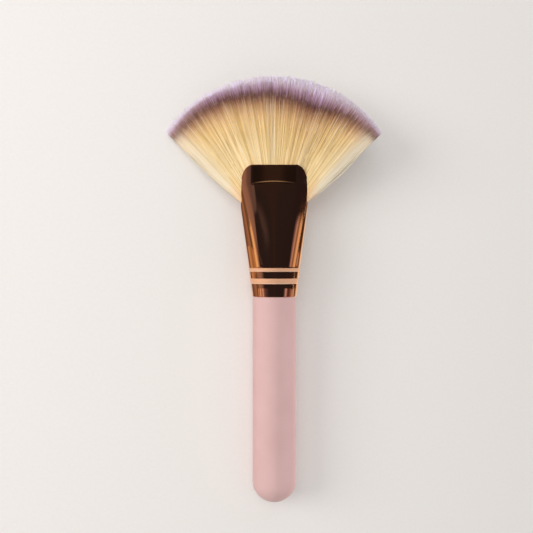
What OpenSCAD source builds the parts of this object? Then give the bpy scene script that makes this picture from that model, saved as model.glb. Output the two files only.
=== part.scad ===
// Fan-shaped face brush: a turned wooden handle, a formed metal ferrule, the resin that holds the
// hair inside it, and the fan of hair. Lengths are in millimetres and angles in degrees.
// Each piece is drawn standing on the handle's rounded end, with z up the brush's own axis and x across
// the fan. The brush can't stand on that end, so it is then laid down as it comes to rest: on the end of
// the handle, on the ferrule's widest round turn and on one corner of the fan.

/* [Handle] */
// Diameter of the handle's straight stretch
handle_d = 17.4; // [15:0.1:18.4]
// Length from the rounded end to the foot of the ferrule
handle_l = 82; // [60:1:120]
// Depth of the rounded end
end_depth = 8.2; // [5:0.1:8.6]
// How much the shoulder narrows under the ferrule, on each side
shoulder_drop = 0.15; // [0.1:0.05:0.6]
// Length over which the shoulder narrows
shoulder_l = 6; // [2:0.5:12]
// Length of the tenon that the ferrule is glued on
tenon_l = 14; // [8:0.5:16]
// Gap between the tenon and the foot of the ferrule, on each side
tenon_gap = 0.1; // [0.05:0.05:0.3]
// Chamfer on the end of the tenon
tenon_chamfer = 0.8; // [0.3:0.1:1.5]

/* [Ferrule collar] */
// Wall of the ferrule
wall = 0.45; // [0.3:0.05:0.7]
// Outer diameter at the foot
foot_d = 17.8; // [16.4:0.1:18]
// Radius of the foot's turned-in edge
foot_round = 0.25; // [0.1:0.05:0.35]
// Outer diameter at the top of the round collar
collar_d = 20.7; // [18.6:0.1:21]
// Height of the round collar
collar_h = 12; // [11.8:0.1:15]
// Height of the lower turned band above the foot
low_band_z = 5.2; // [3:0.1:6]
// Width of the lower turned band
low_band_w = 2.1; // [1:0.1:3]
// Height of the upper turned band above the foot
high_band_z = 10; // [9.4:0.1:10]
// Width of the upper turned band
high_band_w = 1.4; // [0.8:0.1:1.7]
// Depth to which both bands are turned
band_depth = 0.1; // [0.05:0.05:0.2]

/* [Ferrule mouth] */
// Height from the collar to the fold across each face
taper_h = 32.5; // [24:0.5:44]
// Width of the flattened tube at the fold, before its sides are cut away
mouth_w = 29; // [28.6:0.1:32]
// Thickness of the flattened tube at the mouth
mouth_t = 8.6; // [7:0.1:11]
// Width of the pressed flat at the fold
flat_w = 18; // [12:0.5:19]
// Width that the flat tapers to where it meets the collar
flat_foot_w = 11.2; // [8:0.1:14]
// Where the flank leaves the crease beside the flat: 1 is flush with the flat, less falls away sooner
flank_share = 0.4; // [0.3:0.05:1]
// How far the lips are pressed in at the fold
fold_depth = 0.25; // [0.1:0.05:0.4]
// Height of that step
fold_h = 0.7; // [0.4:0.1:1.2]
// How far the fold arches up in the middle
arch_h = 0.9; // [0:0.1:1.5]
// Height of the lips above the fold
lip_h = 7.7; // [5:0.1:9]
// Width across each lip
lip_w = 26.7; // [25.6:0.1:26.8]
// Width of the lip's rounded corner
lip_corner_w = 4.6; // [2:0.1:5]
// Height of the lip's rounded corner
lip_corner_h = 7.3; // [4:0.1:9]

/* [Hair] */
// Height of the fan's tip above the foot of the ferrule
fan_h = 88.4; // [76:0.2:100]
// Half of the angle that the fan opens to
fan_angle = 47.5; // [42:0.5:47.5]
// Radius of the curve that the tips are cut to
tip_r = 53; // [46:0.5:62]
// Height of the point that the hair fans out from, above the foot
fan_z = 25.6; // [25:0.1:26]
// Distance from that point to where the hair bends outward
bend_r = 17.2; // [16:0.1:17.3]
// Gap between the hair and the inside of the ferrule
hair_gap = 0.25; // [0.15:0.05:0.5]
// Height of the hair's root above the foot
root_z = 22; // [18:0.5:24]
// Thickness of the fan where it is fullest
fan_t = 9; // [7:0.1:11]
// Thickness of the fan at its tips
tip_t = 6.4; // [4:0.1:8]
// Thickness of the fan along its two side edges
edge_t = 2; // [1:0.1:3]
// Length over which the tips round off
tip_round = 5; // [2:0.5:8]
// Locks that the hair gathers into, across the fan
locks = 30; // [12:1:40]
// Depth of the furrow between two locks
lock_depth = 0.5; // [0:0.05:0.8]
// How far a lock's tip stands out or falls short
ragged = 0.5; // [0:0.05:1]

/* [Resin] */
// Gap between the resin plug and the ferrule
resin_gap = 0.1; // [0.05:0.05:0.3]

/* [Hidden] */
$fn = 96;

handle_r = handle_d / 2;
foot_r = foot_d / 2;
collar_r = collar_d / 2;
tenon_r = foot_r - wall - tenon_gap;
fold_z = collar_h + taper_h;
lip_top_z = fold_z + lip_h;
lip_half = lip_w / 2;
total_l = handle_l + fan_h;

// Steps that the formed surfaces are drawn in
flat_steps = 8;
side_steps = 14;
taper_steps = 8;
lip_steps = 4;
foot_steps = 3;
end_steps = 24;
lock_columns = 4;
fan_steps = 9;
tip_steps = 4;
search_steps = 24;

function mix(a, b, t) = a + (b - a) * t;
function clamped(t) = min(1, max(0, t));
function smooth(t) = let (c = clamped(t)) c * c * (3 - 2 * c);

// Skins a closed tube through rings of equal length, each a list of points
function ring_faces(rings, columns, closed) = [
    for (i = [0 : rings - (closed ? 1 : 2)])
        for (j = [0 : columns - 1])
            let (a = i * columns + j,
                 b = i * columns + (j + 1) % columns,
                 c = ((i + 1) % rings) * columns + (j + 1) % columns,
                 d = ((i + 1) % rings) * columns + j)
                for (f = [[a, d, c], [a, c, b]]) f
];

// Ferrule

columns_round = 2 * (flat_steps + side_steps);

// The angle round the collar where the flat begins, counted from the middle of the narrow side
flat_from = acos(flat_foot_w / 2 / collar_r);

// Where column j stands round the collar, as an angle from the right-hand side
function column_angle(j) =
    j < side_steps ? mix(-flat_from, flat_from, j / side_steps)
    : j < side_steps + flat_steps ? mix(flat_from, 180 - flat_from, (j - side_steps) / flat_steps)
    : column_angle(j - side_steps - flat_steps) + 180;

// Where column j stands round the flattened mouth: each flank curves from a crease beside the flat, where
// h is 1, to the narrow side, where h is 0
function mouth_point(j, half_w, half_t) =
    j < side_steps
    ? let (h = mix(-1, 1, j / side_steps))
        [half_w - (half_w - flat_w / 2) * h * h,
         half_t * h * (abs(h) + 2 * (1 - abs(h)) * flank_share)]
    : j < side_steps + flat_steps
    ? [mix(flat_w / 2, -flat_w / 2, (j - side_steps) / flat_steps), half_t]
    : -mouth_point(j - side_steps - flat_steps, half_w, half_t);

// Height of the fold at a distance x from the middle
function fold_at(x) = fold_z + arch_h * max(0, 1 - pow(2 * x / flat_w, 2));

// Point of the tapering tube in column j at height z, set in from the outside by d
function tube_point(j, z, d) =
    let (a = column_angle(j),
         t = clamped((z - collar_h) / taper_h),
         r = mix(foot_r, collar_r, clamped(z / collar_h)) - d,
         x = mix(r * cos(a), mouth_point(j, mouth_w / 2 - d, 1)[0], t),
         pressed = fold_depth * (1 - smooth((z - fold_at(x)) / fold_h)) * t,
         y = mix(r * sin(a), mouth_point(j, 1, mouth_t / 2 - d + pressed)[1], t))
        [x, y, z];

// Half-width of a lip's outline at height z
function lip_outline(z) =
    let (t = clamped((z - lip_top_z + lip_corner_h) / lip_corner_h))
        lip_half - lip_corner_w * (1 - sqrt(1 - t * t));

// Height of the rim in column j, where the tube runs out of the lip's outline
function rim_search(j, low, high, n) =
    let (z = (low + high) / 2)
        n == 0 ? z
        : abs(tube_point(j, z, 0)[0]) > lip_outline(z) ? rim_search(j, low, z, n - 1)
        : rim_search(j, z, high, n - 1);
function rim_at(j) =
    abs(tube_point(j, lip_top_z, 0)[0]) <= lip_half - lip_corner_w ? lip_top_z
    : rim_search(j, collar_h, lip_top_z, search_steps);

rim_heights = [for (j = [0 : columns_round - 1]) rim_at(j)];

// Shares of the way from the collar to the rim, closer together at the fold
fold_share = taper_h / (taper_h + lip_h);
run_share = (fold_h + arch_h) / (taper_h + lip_h);
rise_shares = concat(
    [for (i = [1 : taper_steps]) fold_share * i / taper_steps],
    [for (i = [1 : lip_steps]) fold_share + run_share * i / lip_steps],
    [mix(fold_share + run_share, 1, 0.5), 1]);
function riser(d, shares) = [
    for (s = shares)
        [for (j = [0 : columns_round - 1])
            tube_point(j, mix(collar_h, rim_heights[j], s), d)]
];

// Rings of the round collar, from pairs of a height and a depth below its surface
function collar_rings(steps) = [
    for (s = steps)
        [for (j = [0 : columns_round - 1]) tube_point(j, s[0], s[1])]
];
foot_edge = [
    for (i = [0 : foot_steps])
        let (a = 90 * i / foot_steps)
            [foot_round * (1 - cos(a)), foot_round * (1 - sin(a))]
];
function band_steps(z, w) = [[z, 0], [z, band_depth], [z + w, band_depth], [z + w, 0]];

module ferrule() {
    outside = concat(
        collar_rings(concat(foot_edge, band_steps(low_band_z, low_band_w),
                            band_steps(high_band_z, high_band_w), [[collar_h, 0]])),
        riser(0, rise_shares));
    inside = concat(
        collar_rings([[0, wall], [collar_h, wall]]),
        riser(wall, rise_shares));
    rings = concat(outside, [for (i = [len(inside) - 1 : -1 : 0]) inside[i]]);
    color([0.85, 0.55, 0.42])
        laid_down()
            translate([0, 0, handle_l])
                polyhedron([for (ring = rings) for (p = ring) p],
                           ring_faces(len(rings), columns_round, true));
}

// Handle

module handle() {
    shoulder_r = handle_r - shoulder_drop;
    rounded_end = [
        for (i = [0 : end_steps])
            let (a = 90 * i / end_steps)
                [handle_r * sin(a), end_depth * (1 - cos(a))]
    ];
    shoulder = [
        for (i = [0 : end_steps])
            let (a = 90 * i / end_steps)
                [shoulder_r + shoulder_drop * cos(a), handle_l - shoulder_l + shoulder_l * sin(a)]
    ];
    tenon = [
        [tenon_r, handle_l],
        [tenon_r, handle_l + tenon_l - tenon_chamfer],
        [tenon_r - tenon_chamfer, handle_l + tenon_l],
        [0, handle_l + tenon_l]
    ];
    color([0.87, 0.73, 0.72])
        laid_down()
            rotate_extrude()
                polygon(concat(rounded_end, shoulder, tenon));
}

// Resin plug between the tenon and the hair's root

module resin_plug() {
    inset = wall + resin_gap;
    plug_heights = [
        for (i = [0 : lip_steps]) mix(tenon_l, root_z, i / lip_steps)
    ];
    rings = [
        for (z = plug_heights)
            [for (j = [0 : columns_round - 1]) tube_point(j, z, inset)]
    ];
    last = len(rings) - 1;
    color([0.78, 0.66, 0.42])
        laid_down()
            translate([0, 0, handle_l])
                polyhedron([for (ring = rings) for (p = ring) p],
                           concat(ring_faces(len(rings), columns_round, false),
                                  [[for (j = [0 : columns_round - 1]) j]],
                                  [[for (j = [columns_round - 1 : -1 : 0]) last * columns_round + j]]));
}

// Hair

hair_columns = locks * lock_columns;

// Distance from the fan's centre to the curve of the tips, at an angle from the middle
tip_centre = fan_h - tip_r - fan_z;
function tip_reach(a) = tip_centre * cos(a) + sqrt(pow(tip_r, 2) - pow(tip_centre * sin(a), 2));

// A lock's own small difference from its neighbours, from -1 to 1
function own(j) = sin(j * 137.5 + 40) * cos(j * 61.3);

// Half-thickness of the hair's side edge where it leaves the ferrule
leaving_edge = 0.2;
// Length over which a column swells to its free thickness once it has left the ferrule
leaving_l = 11;
// How fully the free section rounds out between its side edges
free_power = 0.5;
// Share of the ferrule's inside that the root fills from side to side
root_fill = 0.97;
// Share of the thickness that is left at the very tips
tip_left = 0.15;
// Shares of the length past the bend: where the outermost hair is clear of the ferrule, where the fan is
// fullest, where the furrows reach their full depth, and where the tips of the locks part
clear_share = 0.03;
fullest_share = 0.4;
furrowed_share = 0.5;
parted_share = 0.8;

// Half-thickness of the fan in the middle: held between the lips, it then swells and thins to the tips
lip_t = mouth_t / 2 - wall - hair_gap;
free_from = (lip_top_z - fan_z - bend_r) / (tip_reach(0) - bend_r);
fullest_at = mix(free_from, 1, fullest_share);
function half_fan(s) =
    s < fullest_at
    ? mix(lip_t, fan_t / 2, smooth((s - free_from) / (fullest_at - free_from)))
    : mix(fan_t / 2, tip_t / 2, smooth((s - fullest_at) / (1 - fullest_at)));

// Half-thickness of the hair inside the ferrule, at a distance x from the middle and a height z
function held_at(x, z) =
    let (t = clamped((z - collar_h) / taper_h),
         half_w = mix(collar_r, mouth_w / 2, t) - wall - hair_gap,
         h = sqrt(clamped((half_w - x) / (half_w - mix(flat_foot_w, flat_w, t) / 2))))
        max(leaving_edge, lip_t * h * (h + 2 * (1 - h) * flank_share));

// Distance from the fan's centre at which the hair leaves the lips, at an angle from the middle
function leaving_r(a) = min(lip_half / max(0.01, sin(abs(a))), (lip_top_z - fan_z) / cos(a));

// Where column j stands across the hair, from -1 on the left edge to 1 on the right
function across(j) = 2 * j / hair_columns - 1;

// Points of the hair in column j, on the front (side -1) or the back (side 1): at the root, where it
// bends outward, and a share s of the way from there to the tip
function root_point(j, side) =
    let (u = across(j),
         t = (root_z - collar_h) / taper_h,
         half_w = root_fill * (mix(collar_r, mouth_w / 2, t) - wall - hair_gap),
         half_t = root_fill * (mix(collar_r, mouth_t / 2, t) - wall - hair_gap))
        [half_w * u, side * mix(leaving_edge, half_t, sqrt(1 - u * u)), root_z];
function bend_point(j, side) =
    let (a = fan_angle * across(j),
         x = bend_r * sin(a),
         z = fan_z + bend_r * cos(a))
        [x, side * held_at(abs(x), z), z];
function fan_point(j, side, s) =
    let (u = across(j),
         a = fan_angle * u,
         parted = smooth((s - parted_share) / (1 - parted_share)),
         reach = tip_reach(a) + ragged * own(floor(j / lock_columns)) * parted,
         r = mix(bend_r, reach, s),
         x = r * sin(a),
         z = fan_z + r * cos(a),
         between = (0.5 + 0.5 * cos(360 * j / lock_columns)) * smooth(s / furrowed_share),
         furrow = lock_depth * mix(0.7, 1, abs(own(round(j / lock_columns)))) * between,
         free = edge_t / 2 + max(0, half_fan(s) - edge_t / 2 - furrow) * pow(1 - u * u, free_power),
         t = mix(held_at(min(abs(x), lip_half), z), free, smooth((r - leaving_r(a)) / leaving_l)),
         near_tip = clamped((r - reach + tip_round) / tip_round),
         cap = max(tip_left, sqrt(1 - near_tip * near_tip)))
        [x, side * t * cap, z];
function hair_point(j, side, step) =
    step < 0 ? root_point(j, side) : step == 0 ? bend_point(j, side) : fan_point(j, side, step);

// A ring goes across the front from left to right, and back across the back
function hair_ring(step) =
    concat([for (j = [0 : hair_columns]) hair_point(j, -1, step)],
           [for (j = [hair_columns : -1 : 0]) hair_point(j, 1, step)]);
tip_share = 1 - tip_round / (tip_reach(0) - bend_r);
hair_steps = concat(
    [-1, 0, clear_share],
    [for (i = [1 : fan_steps]) tip_share * i / fan_steps],
    [for (i = [1 : tip_steps]) tip_share + (1 - tip_share) * sin(90 * i / tip_steps)]);
function fan_rings() = [
    for (s = hair_steps)
        [for (p = hair_ring(s)) p + [0, 0, handle_l]]
];

// The rest pose

// Angle that the brush's axis rises at, from the handle's end to the top of the collar
rest_span = handle_l + collar_h - end_depth;
pitch = atan2(collar_r, rest_span) - asin(handle_r / norm([rest_span, collar_r]));

// Height of the axis over the surface, at z along the brush
function axis_height(z) = handle_r + (z - end_depth) * sin(pitch);

// Roll at which a point of the fan's lower face would touch the surface
function touch_roll(p) = let (out = abs(p[0]), down = abs(p[1]))
    asin(min(1, axis_height(p[2]) / cos(pitch) / norm([out, down]))) - atan2(down, out);
roll = min([for (ring = fan_rings()) for (p = ring) if (p[0] < -collar_r) touch_roll(p)]);

// Lays the brush down with its fan towards +Y, centred over the origin
module laid_down() {
    middle = (end_depth - (total_l - end_depth) * cos(pitch)) / 2;
    translate([0, middle, handle_r])
        rotate([pitch - 90, 0, 0])
            rotate([0, 0, -roll])
                translate([0, 0, -end_depth])
                    children();
}

module bristles() {
    rings = fan_rings();
    loop = 2 * (hair_columns + 1);
    last = (len(rings) - 1) * loop;
    root_cap = [[for (j = [0 : loop - 1]) j]];
    tip_cap = [
        for (j = [0 : hair_columns - 1])
            for (f = [[last + j, last + loop - 1 - j, last + loop - 2 - j],
                      [last + j, last + loop - 2 - j, last + j + 1]]) f
    ];
    color([0.93, 0.82, 0.6])
        laid_down()
            polyhedron([for (ring = rings) for (p = ring) p],
                       concat(ring_faces(len(rings), loop, false), root_cap, tip_cap));
}

handle();
ferrule();
resin_plug();
bristles();
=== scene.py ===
import math

import bpy
import numpy as np
from mathutils import Matrix, Vector


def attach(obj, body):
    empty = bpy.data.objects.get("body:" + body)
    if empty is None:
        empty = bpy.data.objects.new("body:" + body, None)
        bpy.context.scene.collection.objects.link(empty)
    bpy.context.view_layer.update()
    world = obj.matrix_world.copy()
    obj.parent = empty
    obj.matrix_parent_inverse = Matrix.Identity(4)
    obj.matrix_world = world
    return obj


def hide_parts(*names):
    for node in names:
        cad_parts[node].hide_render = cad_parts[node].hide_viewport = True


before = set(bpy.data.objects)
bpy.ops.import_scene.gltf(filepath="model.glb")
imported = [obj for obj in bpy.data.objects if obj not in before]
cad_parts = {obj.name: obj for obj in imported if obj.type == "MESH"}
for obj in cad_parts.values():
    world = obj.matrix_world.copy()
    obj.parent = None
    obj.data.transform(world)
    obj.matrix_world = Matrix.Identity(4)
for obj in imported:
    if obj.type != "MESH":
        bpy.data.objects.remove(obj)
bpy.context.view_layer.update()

# The pieces are drawn in millimetres, standing on the handle's end: x across the fan, y towards its back,
# z up the brush. This matrix lays them down as they rest and turns them into metres.
restPose = {"pitch": 1.10063, "roll": 14.1831, "middle": -76.985, "handleRadius": 8.7, "endDepth": 8.2}
toMetres = 0.001
laidDown = (
    Matrix.Scale(toMetres, 4)
    @ Matrix.Translation((0, restPose["middle"], restPose["handleRadius"]))
    @ Matrix.Rotation(math.radians(restPose["pitch"] - 90), 4, "X")
    @ Matrix.Rotation(math.radians(-restPose["roll"]), 4, "Z")
    @ Matrix.Translation((0, 0, -restPose["endDepth"]))
)


def mix(a, b, t):
    return a + (b - a) * t


def smooth(t):
    t = np.clip(t, 0, 1)
    return t * t * (3 - 2 * t)


def rise(value, nought, full):
    # 0 where the value is at nought or before it, 1 from full on, and a soft step between
    return smooth((value - nought) / (full - nought))


def linear(red, green, blue):
    # a colour in levels of 255 as the linear colour that Blender's sockets take
    shares = [level / 255 for level in (red, green, blue)]
    return tuple(((c + 0.055) / 1.055) ** 2.4 if c > 0.04 else c / 12.92 for c in shares) + (1,)


def intoScene(name, data):
    added = bpy.data.objects.new(name, data)
    bpy.context.scene.collection.objects.link(added)
    return added


def toMesh(name, points, faces, materials, faceMaterial=None, sharpAngle=None):
    mesh = bpy.data.meshes.new(name)
    laying = np.array(laidDown)
    placed = points @ laying[:3, :3].T + laying[:3, 3]
    mesh.from_pydata(placed.tolist(), [], faces)
    for material in materials:
        mesh.materials.append(material)
    if faceMaterial is not None:
        mesh.polygons.foreach_set("material_index", faceMaterial)
    mesh.polygons.foreach_set("use_smooth", [True] * len(mesh.polygons))
    if sharpAngle:
        mesh.set_sharp_from_angle(angle=math.radians(sharpAngle))
    mesh.update()
    return intoScene(name, mesh)


def addAttribute(piece, name, values):
    layer = piece.data.attributes.new(name, "FLOAT", "POINT")
    layer.data.foreach_set("value", np.ascontiguousarray(values, dtype=np.float32).ravel())


# short ways to make the nodes that the materials share
def newMaterial(name):
    material = bpy.data.materials.new(name)
    material.use_nodes = True
    nodes = material.node_tree.nodes
    return material, nodes, material.node_tree.links, nodes["Principled BSDF"]


def rampNode(nodes, stops):
    ramp = nodes.new("ShaderNodeValToRGB")
    elements = ramp.color_ramp.elements
    while len(elements) > 1:
        elements.remove(elements[-1])
    for i, (place, colour) in enumerate(stops):
        element = elements[0] if i == 0 else elements.new(place)
        element.position = place
        element.color = colour
    return ramp


def mathNode(nodes, links, kind, first, second):
    node = nodes.new("ShaderNodeMath")
    node.operation = kind
    for socket, value in zip(node.inputs, (first, second)):
        if isinstance(value, (int, float)):
            socket.default_value = value
        else:
            links.new(value, socket)
    return node.outputs[0]


def mixColour(nodes, links, kind, factor, first, second):
    node = nodes.new("ShaderNodeMix")
    node.data_type = "RGBA"
    node.blend_type = kind
    for socket, value in ((node.inputs[0], factor), (node.inputs[6], first), (node.inputs[7], second)):
        if isinstance(value, (int, float, tuple)):
            socket.default_value = value
        else:
            links.new(value, socket)
    return node.outputs[2]


def tintBy(nodes, links, name, colour, share, tint):
    # lays a tint over the colour where the mesh's own attribute says, up to this share
    amount = mathNode(nodes, links, "MULTIPLY", readAttribute(nodes, name), share)
    return mixColour(nodes, links, "MIX", amount, colour, linear(*tint))


def noiseNode(nodes, links, scale, detail, place, roughness=0.5):
    node = nodes.new("ShaderNodeTexNoise")
    node.inputs["Scale"].default_value = scale
    node.inputs["Detail"].default_value = detail
    node.inputs["Roughness"].default_value = roughness
    links.new(place, node.inputs["Vector"])
    return node.outputs["Fac"]


def mapRange(nodes, links, value, fromLow, fromHigh, toLow, toHigh):
    node = nodes.new("ShaderNodeMapRange")
    links.new(value, node.inputs["Value"])
    node.inputs["From Min"].default_value = fromLow
    node.inputs["From Max"].default_value = fromHigh
    node.inputs["To Min"].default_value = toLow
    node.inputs["To Max"].default_value = toHigh
    return node.outputs["Result"]


def spreadNoise(nodes, links, noise, low, high):
    # a noise keeps mostly between 0.3 and 0.7; this spreads it over low to high
    return mapRange(nodes, links, noise, 0.3, 0.7, low, high)


def bumpNode(nodes, links, height, strength, distance):
    node = nodes.new("ShaderNodeBump")
    node.inputs["Strength"].default_value = strength
    node.inputs["Distance"].default_value = distance
    links.new(height, node.inputs["Height"])
    return node.outputs["Normal"]


def objectPlace(nodes):
    return nodes.new("ShaderNodeTexCoord").outputs["Object"]


def readAttribute(nodes, name):
    node = nodes.new("ShaderNodeAttribute")
    node.attribute_name = name
    return node.outputs["Fac"]


# the camera looks down on the brush, square on to the fan; millimetres
view = {"distance": 260, "toLeft": 3.1, "height": 94.04, "lens": 43.72, "frameWidth": 36, "nearest": 10}

cameraData = bpy.data.cameras.new("camera")
cameraData.lens = view["lens"]
cameraData.sensor_width = view["frameWidth"]
cameraData.clip_start = view["nearest"] * toMetres
camera = intoScene("camera", cameraData)
brushTurn = laidDown.to_3x3().normalized()
eye = laidDown @ Matrix.Translation((-view["toLeft"], -view["distance"], view["height"]))
across = brushTurn.col[0].normalized()
upPicture = brushTurn.col[2].normalized()
backwards = -brushTurn.col[1].normalized()
aim = Matrix((across, upPicture, backwards)).transposed().to_4x4()
camera.matrix_world = Matrix.Translation(eye.to_translation()) @ aim
bpy.context.scene.camera = camera
print("camera placed")


# handle: turned wood under satin lacquer, in millimetres
handleForm = {
    "radius": restPose["handleRadius"], "endDepth": restPose["endDepth"], "length": 82,
    "shoulderDrop": 0.15, "shoulderLength": 6, "tenonRadius": 8.35, "tenonLength": 14,
    "tenonChamfer": 0.8, "columns": 144, "endSteps": 40, "straightSteps": 60, "shoulderSteps": 16,
    "sharpAngle": 40,
    "lacquer": {
        "darker": (215, 177, 175), "lighter": (220, 183, 181), "roughness": (0.42, 0.5), "gloss": 0.4,
        "cloudScale": 90, "speckScale": 2600, "speckBump": 0.08, "speckDepth": 0.0001,
    },
}


def makeLacquer():
    look = handleForm["lacquer"]
    material, nodes, links, shader = newMaterial("satin lacquer")
    place = objectPlace(nodes)
    cloud = noiseNode(nodes, links, look["cloudScale"], 4, place)
    speck = noiseNode(nodes, links, look["speckScale"], 2, place)
    tone = spreadNoise(nodes, links, cloud, 0, 1)
    colour = mixColour(nodes, links, "MIX", tone, linear(*look["darker"]), linear(*look["lighter"]))
    links.new(colour, shader.inputs["Base Color"])
    links.new(spreadNoise(nodes, links, cloud, *look["roughness"]), shader.inputs["Roughness"])
    links.new(bumpNode(nodes, links, speck, look["speckBump"], look["speckDepth"]), shader.inputs["Normal"])
    shader.inputs["Specular IOR Level"].default_value = look["gloss"]
    return material


def makeHandle():
    # the profile is a list of radius and height up the brush, and is turned round the middle
    form = handleForm
    endSteps, straightSteps, shoulderSteps = form["endSteps"], form["straightSteps"], form["shoulderSteps"]
    shoulderRadius = form["radius"] - form["shoulderDrop"]
    straightTop = form["length"] - form["shoulderLength"]
    profile = [(0.0, 0.0)]
    for i in range(1, endSteps + 1):
        a = math.pi / 2 * i / endSteps
        profile.append((form["radius"] * math.sin(a), form["endDepth"] * (1 - math.cos(a))))
    for i in range(1, straightSteps):
        profile.append((form["radius"], mix(form["endDepth"], straightTop, i / straightSteps)))
    for i in range(shoulderSteps + 1):
        a = math.pi / 2 * i / shoulderSteps
        radius = shoulderRadius + form["shoulderDrop"] * math.cos(a)
        profile.append((radius, straightTop + form["shoulderLength"] * math.sin(a)))
    tenonTop = form["length"] + form["tenonLength"]
    profile.append((form["tenonRadius"], form["length"]))
    profile.append((form["tenonRadius"], tenonTop - form["tenonChamfer"]))
    profile.append((form["tenonRadius"] - form["tenonChamfer"], tenonTop))
    profile.append((0.0, tenonTop))
    columns = form["columns"]
    points = [(0.0, 0.0, profile[0][1])]
    for radius, z in profile[1:-1]:
        for j in range(columns):
            a = 2 * math.pi * j / columns
            points.append((radius * math.cos(a), radius * math.sin(a), z))
    points.append((0.0, 0.0, tenonTop))
    faces = []
    last = len(points) - 1
    rings = len(profile) - 2
    for j in range(columns):
        k = (j + 1) % columns
        faces.append((0, 1 + k, 1 + j))
        for i in range(rings - 1):
            a = 1 + i * columns
            faces.append((a + j, a + k, a + columns + k, a + columns + j))
        a = 1 + (rings - 1) * columns
        faces.append((a + j, a + k, last))
    points = np.array(points)
    piece = toMesh("lacquered_handle", points, faces, [makeLacquer()], sharpAngle=form["sharpAngle"])
    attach(piece, "root")
    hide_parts("handle")


makeHandle()
print("handle turned")


# ferrule: a drawn tube, flattened and pressed, with two satin turned bands; millimetres up from its foot
ferruleForm = {
    "start": handleForm["length"], "wall": 0.45, "footRadius": 8.9, "footRound": 0.25,
    "collarRadius": 10.35, "collarHeight": 12, "collarEase": 0.25,
    "bands": ((5.2, 2.1), (10, 1.4)), "bandDepth": 0.1, "bandBevel": 0.03, "bevelShare": 0.3,
    "taperHeight": 32.5, "mouthWidth": 29, "mouthThickness": 8.6, "flatWidth": 18, "flatFootWidth": 11.2,
    "flankShare": 0.4, "foldDepth": 0.25, "foldHeight": 0.7, "foldArch": 0.9, "foldFade": 0.12,
    "foldOver": 0.3, "lipHeight": 7.7, "lipWidth": 26.7, "lipCornerWidth": 4.6, "lipCornerHeight": 7.3,
    "rimLift": 0.35, "flatColumns": 48, "sideColumns": 72, "footSteps": 8, "bandSteps": 6,
    "taperSteps": 44, "foldSteps": 22, "lipSteps": 10, "rimSteps": 8, "innerEvery": 3, "searchSteps": 40,
    "sharpAngle": 38,
    "gold": {
        "darker": (0.86, 0.5, 0.33, 1), "lighter": (0.9, 0.56, 0.4, 1), "roughness": (0.05, 0.11),
        "smudgeScale": 160, "waveScale": 45, "waveBump": 0.12, "waveDepth": 0.0006,
        "footWave": (85.5, 88, 3.5, 1),  # how much more the turned foot waves, between these heights
    },
    "band": {
        # the low edge tint is a painted highlight along the foot of each band, as its bevel catches the
        # light
        "darker": (246, 176, 134), "lighter": (255, 210, 174), "bandEdgeHighlight": (0.7, (255, 236, 214)),
        "metallic": 0.3, "roughness": (0.36, 0.46), "grooves": 9, "aroundScale": 6, "grooveScale": 1.6,
        "grooveBump": 0.35, "grooveDepth": 0.00008,
    },
}


def ferruleColumns():
    form = ferruleForm
    flatFrom = math.acos(form["flatFootWidth"] / 2 / form["collarRadius"])
    side = np.arange(form["sideColumns"]) / form["sideColumns"]
    flat = np.arange(form["flatColumns"]) / form["flatColumns"]
    angle = np.concatenate([mix(-flatFrom, flatFrom, side), mix(flatFrom, math.pi - flatFrom, flat)])
    height = np.concatenate([mix(-1.0, 1.0, side), np.ones_like(flat)])
    along = np.concatenate([np.zeros_like(side), flat])
    isFlat = np.concatenate([np.zeros_like(side), np.ones_like(flat)])
    return {
        "angle": np.concatenate([angle, angle + math.pi]),
        "h": np.concatenate([height, height]),
        "flat": np.concatenate([along, along]),
        "isFlat": np.concatenate([isFlat, isFlat]) > 0.5,
        "turned": np.concatenate([np.ones_like(angle), -np.ones_like(angle)]),
    }


ferruleColumn = ferruleColumns()


def foldAt(x):
    form = ferruleForm
    arch = np.maximum(0, 1 - (2 * x / form["flatWidth"]) ** 2)
    return form["collarHeight"] + form["taperHeight"] + form["foldArch"] * arch


def tubePoints(z, depth):
    # one ring of the tube at the heights z, this far inside its outer face
    form, c = ferruleForm, ferruleColumn
    t = np.clip((z - form["collarHeight"]) / form["taperHeight"], 0, 1)
    radius = mix(form["footRadius"], form["collarRadius"], np.clip(z / form["collarHeight"], 0, 1)) - depth
    halfWidth = form["mouthWidth"] / 2 - depth
    halfFlat = form["flatWidth"] / 2
    h = c["h"]
    sideX = halfWidth - (halfWidth - halfFlat) * h * h
    mouthX = np.where(c["isFlat"], mix(halfFlat, -halfFlat, c["flat"]), sideX) * c["turned"]
    x = mix(radius * np.cos(c["angle"]), mouthX, t)
    ledge = 1 - smooth((z - foldAt(x)) / form["foldHeight"])
    fade = 1 - smooth((np.abs(mouthX) / halfFlat - (1 - form["foldFade"])) / form["foldFade"])
    pressed = form["foldDepth"] * ledge * t * np.where(c["isFlat"], fade, 0)
    section = np.where(c["isFlat"], 1, h * (np.abs(h) + 2 * (1 - np.abs(h)) * form["flankShare"]))
    mouthY = (form["mouthThickness"] / 2 - depth + pressed) * section * c["turned"]
    y = mix(radius * np.sin(c["angle"]), mouthY, t)
    return np.stack([x, y, np.broadcast_to(z, x.shape)], axis=1)


def lipOutline(z):
    form = ferruleForm
    top = form["collarHeight"] + form["taperHeight"] + form["lipHeight"]
    t = np.clip((z - top + form["lipCornerHeight"]) / form["lipCornerHeight"], 0, 1)
    return form["lipWidth"] / 2 - form["lipCornerWidth"] * (1 - np.sqrt(1 - t * t))


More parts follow.
